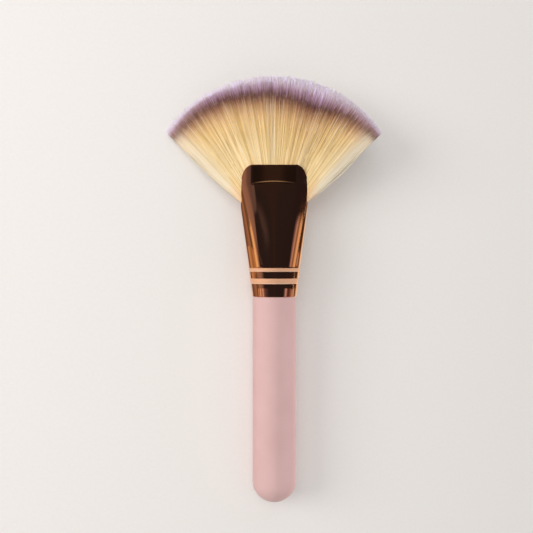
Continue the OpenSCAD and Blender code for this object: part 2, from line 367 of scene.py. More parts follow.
def rimHeights():
    # where each column of the tube crosses the cut outline, found by halving
    form = ferruleForm
    top = form["collarHeight"] + form["taperHeight"] + form["lipHeight"]
    low = np.full(len(ferruleColumn["angle"]), float(form["collarHeight"]))
    high = np.full_like(low, top)
    for i in range(form["searchSteps"]):
        z = (low + high) / 2
        outside = np.abs(tubePoints(z, 0)[:, 0]) > lipOutline(z)
        high = np.where(outside, z, high)
        low = np.where(outside, low, z)
    atTop = np.abs(tubePoints(np.full_like(low, top), 0)[:, 0])
    full = atTop <= form["lipWidth"] / 2 - form["lipCornerWidth"]
    return np.where(full, top, (low + high) / 2)


def makeRoseGold():
    look = ferruleForm["gold"]
    material, nodes, links, shader = newMaterial("polished rose gold")
    place = objectPlace(nodes)
    smudge = noiseNode(nodes, links, look["smudgeScale"], 5, place, 0.6)
    wave = noiseNode(nodes, links, look["waveScale"], 1, place)
    shader.inputs["Metallic"].default_value = 1
    colour = mixColour(nodes, links, "MIX", smudge, look["darker"], look["lighter"])
    links.new(colour, shader.inputs["Base Color"])
    links.new(mapRange(nodes, links, smudge, 0.35, 0.75, *look["roughness"]), shader.inputs["Roughness"])
    uneven = mapRange(nodes, links, readAttribute(nodes, "along"), *look["footWave"])
    height = mathNode(nodes, links, "MULTIPLY", wave, uneven)
    links.new(bumpNode(nodes, links, height, look["waveBump"], look["waveDepth"]), shader.inputs["Normal"])
    return material


def makeTurnedGold():
    look = ferruleForm["band"]
    material, nodes, links, shader = newMaterial("satin turned band")
    combine = nodes.new("ShaderNodeCombineXYZ")
    along = mathNode(nodes, links, "MULTIPLY", readAttribute(nodes, "along"), look["grooves"])
    around = mathNode(nodes, links, "MULTIPLY", readAttribute(nodes, "around"), look["aroundScale"])
    links.new(along, combine.inputs["Z"])
    links.new(around, combine.inputs["X"])
    groove = noiseNode(nodes, links, look["grooveScale"], 4, combine.outputs[0], 0.7)
    shader.inputs["Metallic"].default_value = look["metallic"]
    tone = spreadNoise(nodes, links, groove, 0, 1)
    colour = mixColour(nodes, links, "MIX", tone, linear(*look["darker"]), linear(*look["lighter"]))
    # painted highlight: the band is paled along its lower edge
    colour = tintBy(nodes, links, "bandEdgeHighlight", colour, *look["bandEdgeHighlight"])
    links.new(colour, shader.inputs["Base Color"])
    links.new(spreadNoise(nodes, links, groove, *look["roughness"]), shader.inputs["Roughness"])
    turned = bumpNode(nodes, links, groove, look["grooveBump"], look["grooveDepth"])
    links.new(turned, shader.inputs["Normal"])
    return material


def turnedProfile():
    # from the foot up: height, depth below the outer face, and 1 where a band goes on above
    form = ferruleForm
    outer = []
    for i in range(form["footSteps"] + 1):
        a = math.pi / 2 * i / form["footSteps"]
        outer.append((form["footRound"] * (1 - math.cos(a)), form["footRound"] * (1 - math.sin(a)), 0))
    for start, width in form["bands"]:
        depth = form["bandDepth"]
        bevel = form["bandBevel"]
        outer.append((start - bevel, 0, 0))
        outer.append((start, depth * form["bevelShare"], 0))
        outer.append((start + bevel, depth, 1))
        for i in range(1, form["bandSteps"]):
            share = i / form["bandSteps"]
            outer.append((start + bevel + (width - 2 * bevel) * share, depth, 1))
        outer.append((start + width - bevel, depth, 0))
        outer.append((start + width, depth * form["bevelShare"], 0))
        outer.append((start + width + bevel, 0, 0))
    outer.append((form["collarHeight"] - form["collarEase"], 0, 0))
    return outer


def ferruleRings():
    # rings of points up the outside, over the rim and down the inside, and which of them start a band
    form = ferruleForm
    columns = len(ferruleColumn["angle"])
    rims = rimHeights()
    wall = form["wall"]
    collar = form["collarHeight"]
    rings, bands = [], []
    for z, depth, band in turnedProfile():
        rings.append(tubePoints(np.full(columns, float(z)), depth))
        bands.append(band)
    # the rings above the collar stand closest where the fold runs across
    pressedHeight = form["taperHeight"] + form["lipHeight"]
    foldShare = form["taperHeight"] / pressedHeight
    runShare = (form["foldHeight"] + form["foldArch"] + form["foldOver"]) / pressedHeight
    taperSteps, foldSteps, lipSteps = form["taperSteps"], form["foldSteps"], form["lipSteps"]
    shares = [0] + [foldShare * i / taperSteps for i in range(1, taperSteps + 1)]
    shares += [foldShare + runShare * i / foldSteps for i in range(1, foldSteps + 1)]
    shares += [mix(foldShare + runShare, 1, i / lipSteps) for i in range(1, lipSteps + 1)]
    for share in shares:
        rings.append(tubePoints(mix(collar, rims, share), 0))
        bands.append(0)
    # the rim is rolled over to the inside
    lift = rings[-1] - rings[-2]
    lift /= np.linalg.norm(lift, axis=1)[:, None]
    for i in range(1, form["rimSteps"]):
        a = math.pi * i / form["rimSteps"]
        depth = wall * (1 - math.cos(a)) / 2
        rings.append(tubePoints(rims, depth) + lift * wall * form["rimLift"] * math.sin(a))
        bands.append(0)
    # the inner face needs fewer rings
    for share in reversed(shares):
        if share in (0, 1) or shares.index(share) % form["innerEvery"] == 0:
            rings.append(tubePoints(mix(collar, rims, share), wall))
            bands.append(0)
    rings.append(tubePoints(np.zeros(columns), wall))
    bands.append(0)
    return rings, bands


def makeFerrule():
    form = ferruleForm
    rings, bands = ferruleRings()
    points = np.concatenate(rings)
    points[:, 2] += form["start"]
    count, columns = len(rings), len(ferruleColumn["angle"])
    i = np.arange(count)[:, None]
    j = np.arange(columns)[None, :]
    here, above = i * columns, (i + 1) % count * columns
    nextColumn = (j + 1) % columns
    faces = np.stack([here + j, here + nextColumn, above + nextColumn, above + j], axis=-1).reshape(-1, 4)
    faceMaterial = np.repeat(np.array(bands), columns).tolist()
    golds = [makeRoseGold(), makeTurnedGold()]
    piece = toMesh("rose_gold_ferrule", points, faces.tolist(), golds, faceMaterial, form["sharpAngle"])
    addAttribute(piece, "along", points[:, 2])
    # painted highlight: the ring at the foot of each band's face, where its material pales it
    bandEdgeHighlight = np.zeros(count)
    for i in range(1, count - 1):
        bandEdgeHighlight[i] = bands[i] == 1 and bands[i - 1] == 0
    addAttribute(piece, "bandEdgeHighlight", np.repeat(bandEdgeHighlight, columns))
    addAttribute(piece, "around", np.sin(np.arctan2(points[:, 1], points[:, 0])))
    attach(piece, "root")
    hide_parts("ferrule")


makeFerrule()
print("ferrule formed")


# hair: three layers of tapered strands, dyed towards their tips. A hair's place is u, from -1 at the
# fan's left edge to 1 at its right, and its layer, from -1 at the front to 1 at the back; millimetres
hairForm = {
    "fanHeight": 88.4, "fanAngle": 47.5, "tipRadius": 53, "fanCentre": 25.6, "bendRadius": 17.2,
    "hairGap": 0.25, "fanThickness": 9, "tipThickness": 6.4, "edgeThickness": 2, "freeFrom": 0.206,
    "fullest": 0.524, "leavingEdge": 0.2, "leavingLength": 11, "rootDepth": 3,
    "layers": (("hair_front", -1, -0.42, 11), ("hair_middle", -0.42, 0.42, 12), ("hair_back", 0.42, 1, 13)),
    "strand": {
        "count": 5400, "radius": 0.12, "sides": 3,
        "stations": (0, 0.25, 0.5, 0.72, 0.9, 0.98, 1),  # shares of the length; a ring at all but the last
        "taper": (0.8, 1, 1, 1, 0.9, 0.7),
        "edgeCrowding": 0.12, "withinEdges": 0.996,
        "longer": 0.3, "longest": 1.5, "trim": 0.1, "tipSlope": 0.25, "tipRound": 3.6,
        "shortShare": 0.14, "shortBy": (0.4, 4),
        "locks": 140, "clump": 0.05, "clumpSpread": (0.2, 1.2), "clumpPower": 1.6,
        "drift": 0.35, "strayShare": 0.012, "strayTimes": 4, "edgeFrom": 0.93,
        "wave": 0.06, "waveSideways": 6, "waveDeep": 5, "waveDeepShare": 0.6, "lean": 0.25,
        "looseShare": 0.16, "looseFrom": 0.94, "looseBy": (0.2, 1.3), "looseUntil": 0.92,
        "roundness": 0.35, "facing": 1.6, "farLayers": (-0.1, 0.2), "farRounded": (0.6, 0.9),
        "tipFacing": 0.3, "leastThickness": 0.05, "withinFan": 1.5,
    },
    # colours by millimetres below the tips, tints as share and colour, and where the dye is dented or runs
    # deeper or shallower, as how much, the u of the middle and the width. A pair whose name ends in Edge,
    # From or To is where a thing starts to work and where it works in full
    "dye": {
        "reach": 35,
        "stops": (
            (0, (250, 241, 255)), (1.5, (248, 236, 255)), (2.2, (234, 212, 240)), (2.8, (214, 185, 213)),
            (3.4, (200, 167, 195)), (4, (191, 155, 182)), (4.8, (184, 146, 172)), (5.6, (172, 132, 155)),
            (6.6, (149, 109, 124)), (7.6, (128, 87, 91)), (8.6, (120, 78, 72)), (9.8, (145, 97, 74)),
            (12.2, (195, 146, 106)), (14, (216, 170, 121)), (16.5, (239, 196, 139)), (21, (250, 212, 148)),
            (35, (255, 225, 168)),
        ),
        "tints": {
            # the edge tint is painted light at the fan's edges, laid over pale hairs at random
            "thinDye": (0.36, (192, 150, 126)), "edge": (0.85, (255, 244, 222)),
            # the tip tint pales the dyed tips partly with painted light, for light through thin tips; the
            # last tint is a painted reflection, the copper's warm light laid on the hair by the ferrule's
            # mouth
            "tip": (0.6, (252, 242, 255)), "paintedCopperBounce": (0.6, (255, 180, 88)),
        },
        "tone": (0.8, 1.15), "tonePowers": (1.3, 2.3), "toneSpread": 0.33, "lockTone": 0.4,
        "lockTurns": 91.7, "fleck": (250, 232, 196), "fleckScale": 700, "fleckShare": 0.14,
        "roughness": (0.42, 0.6), "gloss": 0.35,
        "tipLine": 0.1, "edgeScale": 1.05, "edgePower": 2.6, "slant": 0.12, "dent": (0.1, 0.36, 0.16),
        "deeper": (1.35, 0.4, 0.28), "deeperFrom": (2, 5), "deeperTo": (9.5, 6.5),
        "shallower": (1.3, -0.62, 0.22), "shallowerFrom": (0, 3), "shallowerTo": (12, 7), "shiftSpread": 0.7,
        "litEdge": (0.8, 0.97), "litLeft": 0.8, "paleShare": 0.12, "paleBy": (0.3, 0.7),
        "paleFrom": (9, 14), "bounceEdge": (0.7, 0.9), "bounceTo": (5, 0), "tipTo": (2.4, 0), "tipDyeTo": (5, 2),
        "thinEdge": (0.4, 0.85), "thinFrom": (0, 4), "thinTo": (14, 9),
    },
    "map": {"wide": 135, "tall": 40, "sideMargin": 0.08, "endMargin": 0.03, "rootShare": 0.05},
}


def tipReach(angle):
    form = hairForm
    centre = form["fanHeight"] - form["tipRadius"] - form["fanCentre"]
    return centre * np.cos(angle) + np.sqrt(form["tipRadius"] ** 2 - (centre * np.sin(angle)) ** 2)


def leavingRadius(angle):
    # how far from the fan's centre a hair leaves the ferrule
    form = ferruleForm
    top = form["collarHeight"] + form["taperHeight"] + form["lipHeight"]
    sideways = form["lipWidth"] / 2 / np.maximum(0.01, np.sin(np.abs(angle)))
    return np.minimum(sideways, (top - hairForm["fanCentre"]) / np.cos(angle))


def heldThickness(x, z):
    # half the hair's thickness where the ferrule holds it
    form = ferruleForm
    t = np.clip((z - form["collarHeight"]) / form["taperHeight"], 0, 1)
    halfWidth = mix(form["collarRadius"], form["mouthWidth"] / 2, t) - form["wall"] - hairForm["hairGap"]
    halfFlat = mix(form["flatFootWidth"], form["flatWidth"], t) / 2
    h = np.sqrt(np.clip((halfWidth - x) / (halfWidth - halfFlat), 0, 1))
    lip = form["mouthThickness"] / 2 - form["wall"] - hairForm["hairGap"]
    return np.maximum(hairForm["leavingEdge"], lip * h * (h + 2 * (1 - h) * form["flankShare"]))


def fanThickness(u, radius, reach):
    # half the hair's thickness anywhere: fullest half-way up, thin at the edges and the tips
    form = hairForm
    angle = np.radians(form["fanAngle"]) * u
    lip = ferruleForm["mouthThickness"] / 2 - ferruleForm["wall"] - form["hairGap"]
    s = (radius - form["bendRadius"]) / (reach - form["bendRadius"])
    freeFrom, fullest = form["freeFrom"], form["fullest"]
    half = np.where(
        s < fullest,
        mix(lip, form["fanThickness"] / 2, rise(s, freeFrom, fullest)),
        mix(form["fanThickness"] / 2, form["tipThickness"] / 2, rise(s, fullest, 1)),
    )
    edge = form["edgeThickness"] / 2
    free = edge + np.maximum(0, half - edge) * np.sqrt(np.maximum(0, 1 - u * u))
    x = np.abs(radius * np.sin(angle))
    z = form["fanCentre"] + radius * np.cos(angle)
    held = heldThickness(np.minimum(x, ferruleForm["lipWidth"] / 2), z)
    leaving = leavingRadius(angle)
    return mix(held, free, rise(radius, leaving, leaving + form["leavingLength"]))


def layStrands(low, high, rng):
    # where each hair of a layer starts and ends, and how it strays on the way
    form = hairForm["strand"]
    count = form["count"]
    u = (np.arange(count) + rng.random(count)) / count * 2 - 1
    rng.shuffle(u)
    u = np.sin(u * math.pi / 2) * form["edgeCrowding"] + u * (1 - form["edgeCrowding"])
    layer = rng.uniform(low, high, count)
    angle = np.radians(hairForm["fanAngle"]) * u * form["withinEdges"]
    longer = np.minimum(rng.exponential(form["longer"], count), form["longest"])
    length = longer - form["trim"] - form["tipSlope"] * u
    length -= np.where(rng.random(count) < form["shortShare"], rng.uniform(*form["shortBy"], count), 0)
    length -= form["tipRound"] * (1 - np.sqrt(np.maximum(0, 1 - layer**2)))
    reach = tipReach(angle)
    # locks of uneven width, which pull their hairs together towards the tips
    middles = np.sort(rng.uniform(-1, 1, form["locks"]))
    lock = middles[np.argmin(np.abs(u[:, None] - middles[None, :]), axis=1)]
    clump = form["clump"] * rng.uniform(*form["clumpSpread"], count)
    pull = clump * np.radians(hairForm["fanAngle"]) * (lock - u)
    # a few hairs stray further, and those at the edges lean inwards
    stray = rng.random(count) < form["strayShare"]
    drift = np.radians(rng.normal(0, form["drift"], count)) * np.where(stray, form["strayTimes"], 1)
    drift = np.where(np.abs(u) > form["edgeFrom"], -np.abs(drift) * np.sign(u), drift)
    wave = rng.normal(0, form["wave"], count)
    waveTurn = rng.uniform(0, 2 * math.pi, count)
    lean = rng.normal(0, form["lean"], count)
    # some at the edges bow out of the fan
    bowed = (np.abs(u) > form["looseFrom"]) & (rng.random(count) < form["looseShare"])
    loose = np.where(bowed, rng.uniform(*form["looseBy"], count), 0) * np.sign(u)
    return {
        "u": u, "layer": layer, "angle": angle, "reach": reach, "tip": reach + length,
        "start": leavingRadius(angle) - hairForm["rootDepth"], "lock": lock, "pull": pull,
        "drift": drift, "wave": wave, "waveTurn": waveTurn, "lean": lean, "loose": loose,
    }


def hairMiddle(hairs, share):
    # the middle of every hair this share of the way up it, and the way it points there
    form = hairForm["strand"]
    layer, wave, waveTurn = hairs["layer"], hairs["wave"], hairs["waveTurn"]
    radius = mix(hairs["start"], hairs["tip"], share)
    bent = hairs["angle"] + hairs["pull"] * share ** form["clumpPower"] + hairs["drift"] * share**2
    thick = fanThickness(hairs["u"], radius, hairs["reach"]) - form["radius"] * form["withinFan"]
    thick = np.maximum(form["leastThickness"], thick)
    y = layer * thick + hairs["lean"] * share**2 * (1 - np.abs(layer))
    y = y + wave * form["waveDeepShare"] * np.sin(share * form["waveDeep"] + waveTurn)
    y = np.clip(y, -thick, thick)
    bow = math.sin(math.pi * min(1, share / form["looseUntil"]))
    sideStep = wave * np.sin(share * form["waveSideways"] + waveTurn) + hairs["loose"] * bow
    x = radius * np.sin(bent) + sideStep * np.cos(bent)
    z = hairForm["fanCentre"] + ferruleForm["start"] + radius * np.cos(bent) - sideStep * np.sin(bent)
    return np.stack([x, y, z], axis=1), bent


def bendStrands(hairs):
    # the points of every hair, ring after ring, and the way that each point's shading faces
    form = hairForm["strand"]
    layer = hairs["layer"]
    facing = np.stack([0 * layer, np.clip(layer * form["facing"], -1, 1), 0 * layer], axis=1)
    far = rise(layer, *form["farLayers"])
    rings, shading = [], []
    for share, taper in zip(np.array(form["stations"]), form["taper"]):
        centre, bent = hairMiddle(hairs, share)
        rounded = mix(form["roundness"], 1, far * rise(share, *form["farRounded"]))[:, None]
        outward = np.stack([np.cos(bent), 0 * bent, -np.sin(bent)], axis=1)
        ring = []
        for side in range(form["sides"]):
            a = 2 * math.pi * side / form["sides"] + math.pi / 2
            around = math.cos(a) * outward + math.sin(a) * np.array([[0.0, 1.0, 0.0]])
            ring.append(centre + form["radius"] * taper * around)
            shading.append(around * rounded + facing * (1 - rounded))
        rings.append(np.stack(ring, axis=1))
    centre, bent = hairMiddle(hairs, 1.0)
    rings.append(centre[:, None, :])
    upward = np.stack([np.sin(bent), 0 * bent, np.cos(bent)], axis=1)
    shading.append(facing * (1 - far)[:, None] + form["tipFacing"] * upward)
    return np.concatenate(rings, axis=1).reshape(-1, 3), np.stack(shading, axis=1).reshape(-1, 3)


def strandFaces():
    # the sides of every hair, then the triangles that close its tip and its root
    strand = hairForm["strand"]
    count, sides, steps = strand["count"], strand["sides"], len(strand["taper"])
    first = (np.arange(count) * (steps * sides + 1))[:, None, None]
    quads, triangles = [], []
    for k in range(steps - 1):
        for m in range(sides):
            n = (m + 1) % sides
            quads.append((k * sides + m, k * sides + n, (k + 1) * sides + n, (k + 1) * sides + m))
    for m in range(sides):
        n = (m + 1) % sides
        triangles.append(((steps - 1) * sides + m, (steps - 1) * sides + n, steps * sides))
    triangles.append((0, 2, 1))
    quads = (first + np.array(quads)[None]).reshape(-1, 4)
    triangles = (first + np.array(triangles)[None]).reshape(-1, 3)
    return quads.tolist() + triangles.tolist()


def placeMap(shape, cell, cells, margin, low):
    inside = low + margin + (1 - 2 * margin - low) * np.array(shape)[None, :, :]
    return ((cell[:, None, None] + inside) / cells).reshape(-1)


def mapStrands(piece):
    # each strand gets its own narrow cell of the map, one third for each side
    form, strand = hairForm["map"], hairForm["strand"]
    count, sides, steps = strand["count"], strand["sides"], len(strand["taper"])
    stations, rootShare = strand["stations"], form["rootShare"]
    column, row = np.arange(count) % form["wide"], np.arange(count) // form["wide"]
    quadU, quadV, triangleU, triangleV = [], [], [], []
    for k in range(steps - 1):
        for m in range(sides):
            left, right = m / sides, (m + 1) / sides
            quadU.append((left, right, right, left))
            quadV.append((stations[k], stations[k], stations[k + 1], stations[k + 1]))
    for m in range(sides):
        left, right = m / sides, (m + 1) / sides
        triangleU.append((left, right, (left + right) / 2))
        triangleV.append((stations[steps - 1], stations[steps - 1], 1))
    triangleU.append((0, 1, 0.5))
    triangleV.append((-rootShare, -rootShare, 0))
    acrossMap = (column, form["wide"], form["sideMargin"], 0)
    upMap = (row, form["tall"], form["endMargin"], rootShare)
    mapU = np.concatenate([placeMap(quadU, *acrossMap), placeMap(triangleU, *acrossMap)])
    mapV = np.concatenate([placeMap(quadV, *upMap), placeMap(triangleV, *upMap)])
    layout = piece.data.uv_layers.new(name="OFBake")
    layout.data.foreach_set("uv", np.stack([mapU, mapV], axis=1).astype(np.float32).ravel())


def makeHairDye():
    look = hairForm["dye"]
    material, nodes, links, shader = newMaterial("dyed soft hair")
    place = objectPlace(nodes)
    dipped = mathNode(nodes, links, "ADD", readAttribute(nodes, "dyeShift"), readAttribute(nodes, "dipped"))
    ramp = rampNode(nodes, [(below / look["reach"], linear(*colour)) for below, colour in look["stops"]])
    links.new(mathNode(nodes, links, "DIVIDE", dipped, look["reach"]), ramp.inputs["Fac"])
    colour = tintBy(nodes, links, "thinDye", ramp.outputs["Color"], *look["tints"]["thinDye"])
    # a darker hair is also a warmer one
    tone = mapRange(nodes, links, readAttribute(nodes, "tone"), 0, 1, *look["tone"])
    toned = nodes.new("ShaderNodeCombineColor")
    links.new(tone, toned.inputs[0])
    for channel, power in enumerate(look["tonePowers"], 1):
        links.new(mathNode(nodes, links, "POWER", tone, power), toned.inputs[channel])
    colour = mixColour(nodes, links, "MULTIPLY", 1.0, colour, toned.outputs[0])
    # painted light: the edge and tip tints pale the hair partly with painted light, and the last tint lays
    # the copper's painted reflection on it
    for name in ("edge", "tip", "paintedCopperBounce"):
        colour = tintBy(nodes, links, name, colour, *look["tints"][name])
    fleck = noiseNode(nodes, links, look["fleckScale"], 2, place)
    flecked = mapRange(nodes, links, fleck, 0.5, 0.8, 0, look["fleckShare"])
    colour = mixColour(nodes, links, "MIX", flecked, colour, linear(*look["fleck"]))
    links.new(colour, shader.inputs["Base Color"])
    links.new(spreadNoise(nodes, links, fleck, *look["roughness"]), shader.inputs["Roughness"])
    shader.inputs["Specular IOR Level"].default_value = look["gloss"]
    return material


def hill(u, middle, width):
    return np.exp(-((u - middle) / width) ** 2)


def dyeStrands(piece, hairs, rng):
    # what the dye's material reads at each point of each hair
    look, strand = hairForm["dye"], hairForm["strand"]
    u, reach = hairs["u"], hairs["reach"]
    start, tip = hairs["start"][:, None], hairs["tip"][:, None]
    count, sides, steps = strand["count"], strand["sides"], len(strand["taper"])
    stations = np.array(strand["stations"])
    share = np.concatenate([np.repeat(stations[:steps], sides), stations[steps:]])[None, :]
    dentBy, *dentPlace = look["dent"]
    dyeScale = 1 + look["edgeScale"] * np.abs(u) ** look["edgePower"] - look["slant"] * np.sin(u * math.pi)
    dyeScale = dyeScale - dentBy * hill(u, *dentPlace)
    dipped = dyeScale[:, None] * ((reach + look["tipLine"])[:, None] - mix(start, tip, share))
    deeperBy, *deeperPlace = look["deeper"]
    deeper = hill(u, *deeperPlace)[:, None]
    dipped -= deeperBy * deeper * rise(dipped, *look["deeperFrom"]) * rise(dipped, *look["deeperTo"])
    shallowerBy, *shallowerPlace = look["shallower"]
    shallower = hill(u, *shallowerPlace)[:, None]
    shallower = shallower * rise(dipped, *look["shallowerFrom"]) * rise(dipped, *look["shallowerTo"])
    dipped += shallowerBy * shallower
    fromTip = (tip - start) * (1 - share)
    fromMouth = (tip - start) * share - hairForm["rootDepth"]
    # painted light: the fan's edges are made paler, as thin hair there would let light through, the right
    # edge more than the left as it is the side the key lamp leaves in shade; and a hair here and there is
    # paler at random
    outwards = np.abs(u)
    edgeLitOrPale = rise(outwards, *look["litEdge"]) * np.where(u > 0, 1, look["litLeft"])
    palerHair = np.where(rng.random(count) < look["paleShare"], rng.uniform(*look["paleBy"], count), 0)
    edgeLitOrPale = np.maximum(edgeLitOrPale, palerHair)[:, None]
    # painted reflection: hair at the fan's edges, within a few millimetres of the ferrule's mouth, is tinted
    # orange as if lit by the copper
    bounceEdge = rise(outwards, *look["bounceEdge"])[:, None]
    thinEdge = rise(outwards, *look["thinEdge"])[:, None]
    lockTone = np.sin(hairs["lock"] * look["lockTurns"]) * 0.5 + 0.5  # a tone of its own for each lock
    tone = 0.5 + rng.normal(0, look["toneSpread"], count) + (lockTone - 0.5) * look["lockTone"]
    addAttribute(piece, "edge", edgeLitOrPale * rise(dipped, *look["paleFrom"]))
    addAttribute(piece, "paintedCopperBounce", rise(fromMouth, *look["bounceTo"]) * bounceEdge)
    addAttribute(piece, "dipped", dipped)
    # the tips are dyed pale, and within a few millimetres of each hair's own end they are made paler still
    # with painted light, for light through the thin tips
    addAttribute(piece, "tip", rise(fromTip, *look["tipTo"]) * rise(dipped, *look["tipDyeTo"]))
    addAttribute(piece, "tone", np.repeat(np.clip(tone, 0, 1), share.size))
    thinDye = thinEdge * rise(dipped, *look["thinFrom"]) * rise(dipped, *look["thinTo"])
    addAttribute(piece, "thinDye", thinDye)
    addAttribute(piece, "dyeShift", np.repeat(rng.normal(0, look["shiftSpread"], count), share.size))


def makeHair(name, low, high, seed, material):
    rng = np.random.default_rng(seed)
    hairs = layStrands(low, high, rng)
    points, shading = bendStrands(hairs)
    piece = toMesh(name, points, strandFaces(), [material])
    # the strands take their shading partly from the fan's face, as light that has gone through hair does
    shading = shading @ np.array(laidDown.to_3x3().normalized()).T
    shading /= np.linalg.norm(shading, axis=1)[:, None]
    piece.data.normals_split_custom_set_from_vertices(shading.tolist())
    dyeStrands(piece, hairs, rng)
    mapStrands(piece)
    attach(piece, "root")
    return piece


hairDye = makeHairDye()
for layerName, layerLow, layerHigh, layerSeed in hairForm["layers"]:
    layerPiece = makeHair(layerName, layerLow, layerHigh, layerSeed, hairDye)
    if layerName == "hair_front":
        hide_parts("bristles")
print("hair set")


# resin plug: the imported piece, sealed inside the ferrule
resinForm = {
    "darker": (188, 156, 96), "lighter": (214, 186, 128), "roughness": (0.2, 0.34),
    "cloudScale": 320, "cloudBump": 0.2, "cloudDepth": 0.0003,
}


def makeResin():
    look = resinForm
    material, nodes, links, shader = newMaterial("set resin")
    place = objectPlace(nodes)
    cloud = noiseNode(nodes, links, look["cloudScale"], 4, place)
    colour = mixColour(nodes, links, "MIX", cloud, linear(*look["darker"]), linear(*look["lighter"]))
    links.new(colour, shader.inputs["Base Color"])
    links.new(spreadNoise(nodes, links, cloud, *look["roughness"]), shader.inputs["Roughness"])
    links.new(bumpNode(nodes, links, cloud, look["cloudBump"], look["cloudDepth"]), shader.inputs["Normal"])
    return material


bpy.data.objects["resin_plug"].material_slots[0].material = makeResin()
print("resin coloured")


# studio: floor, lamps and the cards that the metal mirrors, in metres
floorForm = {
    "halfWidth": 3, "darker": (230, 226, 223), "lighter": (236, 233, 230), "grainScale": 900,
    "roughness": 0.9, "gloss": 0.1, "glow": 0.12, "glowColour": (1, 0.985, 0.97, 1),
}


def makeFloor():
    look = floorForm
    material, nodes, links, shader = newMaterial("pale paper floor")
    place = objectPlace(nodes)
    grain = noiseNode(nodes, links, look["grainScale"], 3, place)
    colour = mixColour(nodes, links, "MIX", grain, linear(*look["darker"]), linear(*look["lighter"]))
    links.new(colour, shader.inputs["Base Color"])
    shader.inputs["Roughness"].default_value = look["roughness"]
    shader.inputs["Specular IOR Level"].default_value = look["gloss"]
    # the floor's faint glow is seen by the camera and in the metal, and lights nothing else
    seen = nodes.new("ShaderNodeLightPath")
    shown = mathNode(nodes, links, "MAXIMUM", seen.outputs["Is Camera Ray"], seen.outputs["Is Glossy Ray"])
    shader.inputs["Emission Color"].default_value = look["glowColour"]
    links.new(mathNode(nodes, links, "MULTIPLY", shown, look["glow"]), shader.inputs["Emission Strength"])
    half = look["halfWidth"]
    corners = [(-half, -half, 0), (half, -half, 0), (half, half, 0), (-half, half, 0)]
    mesh = bpy.data.meshes.new("floor")
    mesh.from_pydata(corners, [], [(0, 1, 2, 3)])
    mesh.materials.append(material)
    floor = intoScene("floor", mesh)


def cardMaterial(name, stops):
    # a card glows in the colours of its stops, from its first edge to its last
    material = bpy.data.materials.new(name)
    material.use_nodes = True
    nodes, links = material.node_tree.nodes, material.node_tree.links
    nodes.clear()
    out = nodes.new("ShaderNodeOutputMaterial")
    glow = nodes.new("ShaderNodeEmission")
    where = nodes.new("ShaderNodeUVMap")
    where.uv_map = "turn"
    split = nodes.new("ShaderNodeSeparateXYZ")
    links.new(where.outputs[0], split.inputs[0])
    low, high = stops[0][0], stops[-1][0]
    ramp = rampNode(nodes, [((a - low) / (high - low), colour + (1,)) for a, colour in stops])
    links.new(split.outputs[0], ramp.inputs["Fac"])
    links.new(ramp.outputs["Color"], glow.inputs["Color"])
    links.new(glow.outputs[0], out.inputs["Surface"])
    return material


def makeCard(name, edge, near, far, stops):
    # edge holds points (x, z) from the first stop to the last; near and far are its ends along y, each at
    # the first stop and at the last
    points, faces = [], []
    steps = len(edge) - 1
    for i, (x, z) in enumerate(edge):
        points += [(x, mix(*near, i / steps), z), (x, mix(*far, i / steps), z)]
    for i in range(steps):
        faces.append((2 * i, 2 * i + 2, 2 * i + 3, 2 * i + 1))
    mesh = bpy.data.meshes.new(name)
    mesh.from_pydata(points, [], faces)
    layout = mesh.uv_layers.new(name="turn")
    for i in range(steps):
        for corner, k in enumerate((i, i + 1, i + 1, i)):
            layout.data[i * 4 + corner].uv = (k / steps, 0.5)
    mesh.materials.append(cardMaterial(name, stops))
    card = intoScene(name, mesh)
    card.visible_camera = False
    card.visible_diffuse = False
    card.visible_transmission = False
    card.visible_volume_scatter = False
    card.visible_shadow = False


cardForm = {"lift": 0.004, "degreesEach": 1.5, "millimetresEach": 2}


def roundEdge(radius, low, high, steps):
    turns = [math.radians(mix(low, high, i / steps) - restPose["roll"]) for i in range(steps + 1)]
    return [(radius * math.sin(a), cardForm["lift"] + radius * math.cos(a)) for a in turns]


